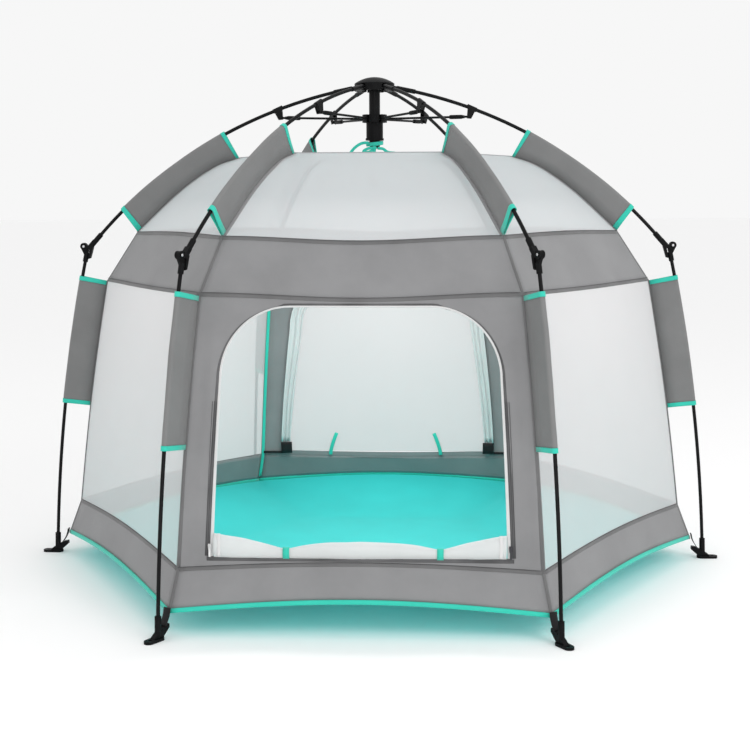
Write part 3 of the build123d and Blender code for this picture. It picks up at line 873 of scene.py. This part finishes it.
def build_door_trim():
    """White zip tape round the opening, a dark facing outside it that also paints the shade beside the jambs, and
    its stitches.
    """
    white = door_loop(16, 18, 12, grow=0.0015)
    widths = [0.0042 + 0.0036 * lower_share(z, 0.68) for _, z in white]
    tape_along("door_zip_tape", white, widths, 0.0016, 0.0004, WHITE, ["door_zips"])
    dark, widths = [], []
    # The dark strip widens towards the sill: partly facing, partly painted shade.
    for x, z in door_loop(16, 18, 12):
        wide = 0.0045 + 0.0085 * lower_share(z) ** 0.8
        reach = 0.0035 + wide / 2
        on_top = z > DOOR_TOP - 0.002
        dark.append((x, z + reach) if on_top else (x + math.copysign(reach, x), z))
        widths.append(wide)
    tape_along("door_facing", dark, widths, 0.0009, 0.0003, ZIP_FACING_AND_SHADE, ["door_zips"])
    heights = [mix(DOOR_SILL, 0.50, t) for t in shares(20)]
    runs = []
    for side in (-1, 1):
        for grow in (0.006, 0.010, 0.014):
            line = [wall_point(FRONT, side * (door_half(z) + grow), z, 0.0013) for z in heights]
            runs.append((line, FRONT_OUT))
    stitches("door_stitches", runs, ["door_zips"])
    reach = DOOR_HALF_LOW + 0.012
    sill = [(mix(-reach, reach, t), DOOR_SILL - 0.006) for t in shares(30)]
    wall = ["front_door_wall"]
    tape_along("door_sill_facing", sill, 0.009, 0.0012, 0.0003, ZIP_FACING_AND_SHADE, wall)


def build_door_roll():
    """The netting door, rolled down on the sill, with its zip edges standing up at both ends."""
    wide = DOOR_HALF_LOW - 0.004
    up = Vector((0, 0, 1))
    rows = []
    for share in shares(120):
        x = mix(-wide, wide, share)
        pinch = min(abs(x - place) for place in TIE_PLACES)
        open_out = 1 - math.exp(-((pinch / 0.055) ** 1.3))
        end = max(0.0, (abs(x) - 0.17) / (wide - 0.17))
        tall = 0.021 + 0.017 * open_out + 0.015 * end ** 1.4
        deep = 0.014 + 0.013 * open_out
        base = wall_point(FRONT, x, DOOR_SILL - 0.004)
        row = []
        for j in range(20):
            a = 2 * math.pi * j / 20
            fold = 1 + 0.06 * math.sin(3 * a + 9 * x) + 0.05 * noise.noise(Vector((x * 22, a * 1.3, 1.0)))
            h = (0.5 + 0.5 * math.sin(a) * fold) * tall
            row.append(base + FRONT_OUT * (math.cos(a) * deep / 2 * fold - 0.002) + up * h)
        rows.append(row)
    obj = tube("door_roll", rows)
    finish_piece(obj, ROLLED, ["front_door_roll"])
    for word, side in (("left", -1), ("right", 1)):
        foot = wall_point(FRONT, side * (wide - 0.012), DOOR_SILL)
        line = [foot + FRONT_OUT * (0.012 - 0.004 * t) + up * 0.05 * t for t in shares(9)]
        edge = ribbon(f"roll_zip_edge_{word}", line, [FRONT_OUT] * 10, 0.007, 0.0016)
        finish_piece(edge, WHITE, ["front_door_roll"])


def build_door_ties():
    """Two teal ties round the rolled door."""
    for name, x in zip(("left", "right"), TIE_PLACES):
        base = wall_point(FRONT, x, DOOR_SILL - 0.004)
        rows = []
        for across in (-0.007, 0.007):
            row = []
            for j in range(24):
                a = 2 * math.pi * j / 24
                level = Vector((across, 0, (0.5 + 0.5 * math.sin(a)) * 0.0265 - 0.002))
                row.append(base + FRONT_OUT * (math.cos(a) * 0.0098 - 0.002) + level)
            rows.append(row)
        band = thicken(grid(f"door_tie_{name}", rows, closed=True), 0.0012, 1.0)
        finish_piece(band, TEAL, ["door_tie_straps"])


def rear_ribbon(name, line, width, thick, material):
    """Tape on the inner face of the rear wall."""
    tape = ribbon(name, line, [-REAR_OUT] * len(line), width, thick)
    finish_piece(tape, material, ["rear_door_wall"])


def build_rear_flaps():
    """Bunched zip flaps, their edges, and the black patches and strips at the lower corners."""
    sill = DOOR_SILL - REAR_SILL_DROP
    for word, side in (("right", -1), ("left", 1)):
        rows = []
        for share in shares(30):
            z = mix(sill + 0.030, DOOR_TOP - 0.012, share)
            wide = mix(0.026, 0.040, share)
            row = []
            for t in shares(24):
                x = side * (door_half(z, REAR) + 0.003 - wide * t)
                fold = math.sin(t * 15.0 + 2.0 * noise.noise(Vector((t * 2, z * 5, side))))
                row.append(wall_point(REAR, x, z, -0.008 - 0.0035 * fold))
            rows.append(row)
        flap = thicken(grid(f"rear_zip_flap_{word}", rows), 0.0007)
        finish_piece(flap, WHITE, ["rear_door_wall"])
        heights = [mix(sill + 0.03, DOOR_TOP - 0.03, t) for t in shares(20)]
        edge = [wall_point(REAR, side * (door_half(z, REAR) + 0.002), z, -0.013) for z in heights]
        rear_ribbon(f"rear_zip_edge_{word}", edge, 0.005, 0.0012, WHITE)
        x = side * (DOOR_HALF_LOW - 0.004)
        corner = [wall_point(REAR, x, sill + h, -0.014) for h in (-0.004, 0.008, 0.020, 0.031)]
        rear_ribbon(f"rear_corner_patch_{word}", corner, 0.034, 0.0016, WEBBING)
        ends = DOOR_HALF_LOW, 0.385
        strip = [wall_point(REAR, side * mix(*ends, t), sill - 0.004, -0.007) for t in shares(8)]
        rear_ribbon(f"rear_sill_strip_{word}", strip, 0.0075, 0.0014, WEBBING)


def build_rear_ties():
    """Two teal tapes that stand up from the rear sill."""
    for name, x, lean in (("left", 0.176, 0.020), ("right", -0.166, -0.021)):
        foot = wall_point(REAR, x, DOOR_SILL - REAR_SILL_DROP - 0.010)
        line = []
        for t in shares(13):
            p = foot - REAR_OUT * (0.007 + 0.008 * math.sin(2.2 * t))
            line.append(p + Vector((lean * t ** 1.5, 0, 0.070 * t)))
        rear_ribbon(f"rear_tie_{name}", line, 0.011, 0.0012, TEAL)


def build_inner_corner_tapes():
    """Teal tape down the inside of the two rear corner seams."""
    for corner in ("back_left", "back_right"):
        angle = CORNERS[corner]
        line = []
        for share in shares(39):
            z = mix(0.070, 0.712, share)
            low, high = (HEM, SKIRT_TOP) if z < SKIRT_TOP[1] else (SKIRT_TOP, WALL_TOP)
            t = (z - low[1]) / (high[1] - low[1])
            bulge = WALL_BULGE * bow(t) if low is SKIRT_TOP else 0.0
            line.append(at(mix(low[0], high[0], t) + bulge - 0.006, z, angle))
        tape = ribbon(f"inner_corner_tape_{corner}", line, [-at(1, 0, angle)] * 40, 0.010, 0.0012)
        finish_piece(tape, TEAL, ["rear_door_wall"])


def build_sliders():
    """Zip sliders, wider at the top, each with a hanging pull tab: one white and one dark."""
    out = FRONT_OUT
    up = Vector((0, 0.132, 0.991)).normalized()
    side = Vector((1, 0, 0))
    half = [(0.0034, 0.012), (0.0042, 0.009), (0.0030, -0.002)]
    outline = [(-x, y) for x, y in (half[1], half[0])] + half + [(-half[2][0], half[2][1])]
    n = len(outline)
    faces = [tuple(range(n - 1, -1, -1)), tuple(range(n, 2 * n))]
    faces += [(i, (i + 1) % n, n + (i + 1) % n, n + i) for i in range(n)]
    for name, material in (("left", ZIP_WHITE), ("right", ZIP_DARK)):
        body = f"zip_slider_{name}"
        low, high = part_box(body)
        front = (low + high) / 2 + out * 0.0005
        points = []
        for depth in (-0.0016, 0.0012):
            points += [front + side * x + up * (y - 0.001) + out * depth for x, y in outline]
        block = round_edges(new_mesh(f"{body}_block", points, faces, smooth=False), 0.0007)
        finish_piece(block, material, [body], body=body)
        line = [front + up * (0.004 - 0.021 * t) + out * (0.0026 - 0.0006 * t) for t in shares(9)]
        tab = ribbon(f"{body}_pull", line, [out] * 10, 0.0046, 0.0011)
        finish_piece(tab, material, [body], body=body)


def round_edges(obj, width):
    bevel = obj.modifiers.new("bevel", "BEVEL")
    bevel.width = width
    bevel.segments = 2
    return apply_modifiers(obj)


# ---------------------------------------------------------------- ties, straps
def build_canopy_tie():
    """Teal tape tied round the bottom of the post, with a bow loop and two tails on the roof."""
    z = POST_LOW + 0.012
    ring = []
    for j in range(49):
        a = 2 * math.pi * j / 48
        ring.append(Vector((math.cos(a) * 0.0205, math.sin(a) * 0.0175, z + 0.0025 * math.sin(a + 0.9))))
    band = ribbon("canopy_tie_band", ring, [Vector((p.x, p.y, 0)) for p in ring], 0.0095, 0.0012)
    finish_piece(band, TEAL, ["canopy_tie"])
    front = Vector((0, -0.0195, z))
    shapes = {
        "tail_left": [(-0.014, 0.004, 0.002), (-0.032, 0.0, 0.000), (-0.048, -0.004, -0.010),
                      (-0.060, -0.008, -0.024)],
        "tail_right": [(0.008, 0.0, -0.012), (0.022, -0.004, -0.014), (0.034, -0.008, -0.022),
                       (0.052, -0.012, -0.0245)],
        "loop": [(0.0, 0.0, -0.013), (-0.012, -0.004, -0.012), (-0.024, -0.006, -0.017),
                 (-0.026, -0.006, -0.022), (-0.012, -0.004, -0.021), (0.0, -0.001, -0.014)],
        "stem": [(0.0, 0.0, -0.010), (0.0005, -0.002, -0.017), (0.0, -0.002, -0.023), (0.0, 0.001, -0.028)],
    }
    for name, points in shapes.items():
        xz = smooth_line([(q[0], q[2]) for q in points], 24)
        yz = smooth_line([(q[1], q[2]) for q in points], 24)
        line = [front + Vector((a[0], b[0], a[1])) for a, b in zip(xz, yz)]
        piece = ribbon(f"canopy_tie_{name}", line, [Vector((0.08, -1, 0.18))] * len(line), 0.0072, 0.0011)
        finish_piece(piece, TEAL, ["canopy_tie"])
    points, faces = ball(front + Vector((0, -0.001, -0.012)), (0.0065, 0.0045, 0.0052))
    obj = new_mesh("canopy_tie_bow", points, faces)
    finish_piece(obj, TEAL, ["canopy_tie"])


def ball(centre, size, rings=8, around=12):
    """Points and faces of an ellipsoid with these half sizes."""
    points, faces = [], []
    for i in range(rings + 1):
        a = math.pi * i / rings
        for j in range(around):
            b = 2 * math.pi * j / around
            unit = (math.sin(a) * math.cos(b), math.sin(a) * math.sin(b), math.cos(a))
            points.append(centre + Vector([length * share for length, share in zip(size, unit)]))
    for i in range(rings):
        for j in range(around):
            k = (j + 1) % around
            faces.append((i * around + j, (i + 1) * around + j, (i + 1) * around + k, i * around + k))
    return points, faces


def build_foot_straps():
    """Black webbing from each heel up to the corner of the hem."""
    for corner, angle in CORNERS.items():
        line = [at(mix(0.834, 0.8185, t) - 0.003 * bow(t), mix(0.029, 0.064, t), angle) for t in shares(13)]
        strap = ribbon(f"foot_strap_{corner}", line, [at(1, 0, angle)] * 14, 0.019, 0.0018)
        finish_piece(strap, WEBBING, ["foot_straps"])


def build_toy_hook():
    """A small cord loop that hangs from the roof netting inside the front of the dome."""
    top = Vector((0.0, -0.20, ROOF_EDGE[1] - 0.012))
    shape = [(0.0, 0.0), (0.001, -0.03), (0.002, -0.055), (0.006, -0.068), (0.012, -0.062), (0.011, -0.048)]
    line = [top + Vector((a[0], 0, a[1])) for a in smooth_line(shape, 26)]
    obj = ribbon("toy_loop", line, [Vector((0, -1, 0.05))] * len(line), 0.006, 0.0012)
    finish_piece(obj, WHITE, ["dome_mesh"])


def paint_frame():
    """Better materials for the carried-over CAD nodes."""
    by_slot = {"black_pole": POLE, "black_plastic": BLACK, "steel_pin": STEEL}
    slots = {s["node"]: s["material_slot"] for s in frame["record"]["subparts"]}
    for name, obj in frame["nodes"].items():
        material = by_slot.get(slots.get(name))
        if material:
            for i in range(len(obj.data.materials)):
                obj.data.materials[i] = material
            if not obj.data.materials:
                obj.data.materials.append(material)


def build_strut_ends():
    """Moulded end sleeves on the struts, just short of the rib brackets."""
    r_in, z_in = RUNNER_PIVOT
    r_out, z_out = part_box("strut_right")[1].x - 0.004, z_in + 0.004
    profile = (
        (-0.050, 0.0030), (-0.0495, 0.0046), (-0.046, 0.0052),
        (-0.020, 0.0052), (-0.0165, 0.0046), (-0.016, 0.0030),
    )
    for corner, angle in CORNERS.items():
        side = sideways(angle)
        rows = []
        for along, radius in profile:
            z = mix(z_in, z_out, (r_out + along - r_in) / (r_out - r_in))
            centre = at(r_out + along, z, angle)
            rows.append([centre + side * radius * math.cos(a) + Vector((0, 0, radius * math.sin(a)))
                         for a in (2 * math.pi * k / 16 for k in range(16))])
        obj = tube(f"strut_end_{corner}", rows)
        finish_piece(obj, BLACK, [], body=f"strut_{corner}", joint=None)


def build_rivets():
    """Bright rivet heads on both sides of each knee."""
    for corner, angle in CORNERS.items():
        side = sideways(angle)
        points, faces = [], []
        for sign in (-1, 1):
            centre = at(KNEE[0], KNEE[1], angle) + side * sign * 0.0079
            more, more_faces = ball(Vector((0, 0, 0)), (0.0032, 0.0012, 0.0032))
            turn = Matrix.Rotation(math.radians(angle), 3, "Z")
            base = len(points)
            points += [turn @ p + centre for p in more]
            faces += [tuple(i + base for i in f) for f in more_faces]
        obj = new_mesh(f"knee_rivet_{corner}", points, faces)
        finish_piece(obj, STEEL, [], body=f"rib_{corner}", joint=None)


# ---------------------------------------------------------------- stage, light and camera
def build_stage():
    mesh = bpy.data.meshes.new("studio_floor")
    mesh.from_pydata([(-90, -90, 0), (90, -90, 0), (90, 90, 0), (-90, 90, 0)], [], [(0, 1, 2, 3)])
    floor = bpy.data.objects.new("studio_floor", mesh)
    bpy.context.scene.collection.objects.link(floor)
    p = Paint("studio_white")
    p.set({"Base Color": (0.975, 0.975, 0.975, 1), "Roughness": 0.9, "Specular IOR Level": 0.1})
    mesh.materials.append(p.material)
    world = bpy.data.worlds.new("studio")
    world.use_nodes = True
    world.node_tree.nodes["Background"].inputs[0].default_value = (1.0, 1.0, 1.0, 1)
    world.node_tree.nodes["Background"].inputs[1].default_value = 0.93
    bpy.context.scene.world = world


def build_lamps():
    """Soft square lamps, hidden from the camera: name, place, aim, size, power and colour."""
    white, warm = (1.0, 1.0, 1.0), (1.0, 0.93, 0.91)
    for name, place, aim, size, power, colour in (
        ("key", (2.6, -3.1, 3.0), (0, 0, 0.6), 1.8, 40, white),
        ("front", (0.4, -3.6, 0.55), (0, -0.6, 0.3), 1.0, 10, white),
        ("top", (0.5, 0.2, 4.2), (0, 0, 0.5), 2.8, 9, white),
        ("inner", (0.0, 0.0, 0.93), (0, 0, 0), 0.5, 8.5, warm),
    ):
        light = bpy.data.lights.new(name, "AREA")
        light.size = size
        light.energy = power
        light.color = colour
        lamp = bpy.data.objects.new(name, light)
        lamp.location = place
        lamp.rotation_euler = (Vector(aim) - Vector(place)).to_track_quat("-Z", "Y").to_euler()
        lamp.visible_camera = False
        bpy.context.scene.collection.objects.link(lamp)


def build_camera():
    data = bpy.data.cameras.new("camera")
    data.sensor_width = 36.0
    data.lens = LENS
    data.shift_y = CAMERA_SHIFT
    camera = bpy.data.objects.new("camera", data)
    forward = Vector(CAMERA_FORWARD).normalized()
    right = forward.cross(Vector(CAMERA_UP)).normalized()
    turn = Matrix((right, right.cross(forward), -forward)).transposed()
    camera.matrix_world = Matrix.Translation(CAMERA_PLACE) @ turn.to_4x4()
    bpy.context.scene.collection.objects.link(camera)
    bpy.context.scene.camera = camera


build_camera()
build_stage()
build_lamps()
build_skirt_and_band()
build_netting_walls()
build_door_walls()
build_rear_netting()
build_dome()
build_roof()
build_level_seams()
build_corner_seams()
build_hem()
build_floor()
build_sleeves()
build_door_trim()
build_door_roll()
build_door_ties()
build_rear_flaps()
build_rear_ties()
build_inner_corner_tapes()
build_sliders()
build_canopy_tie()
build_foot_straps()
build_toy_hook()
build_strut_ends()
build_rivets()
paint_frame()
bpy.context.scene.view_settings.view_transform = "Standard"
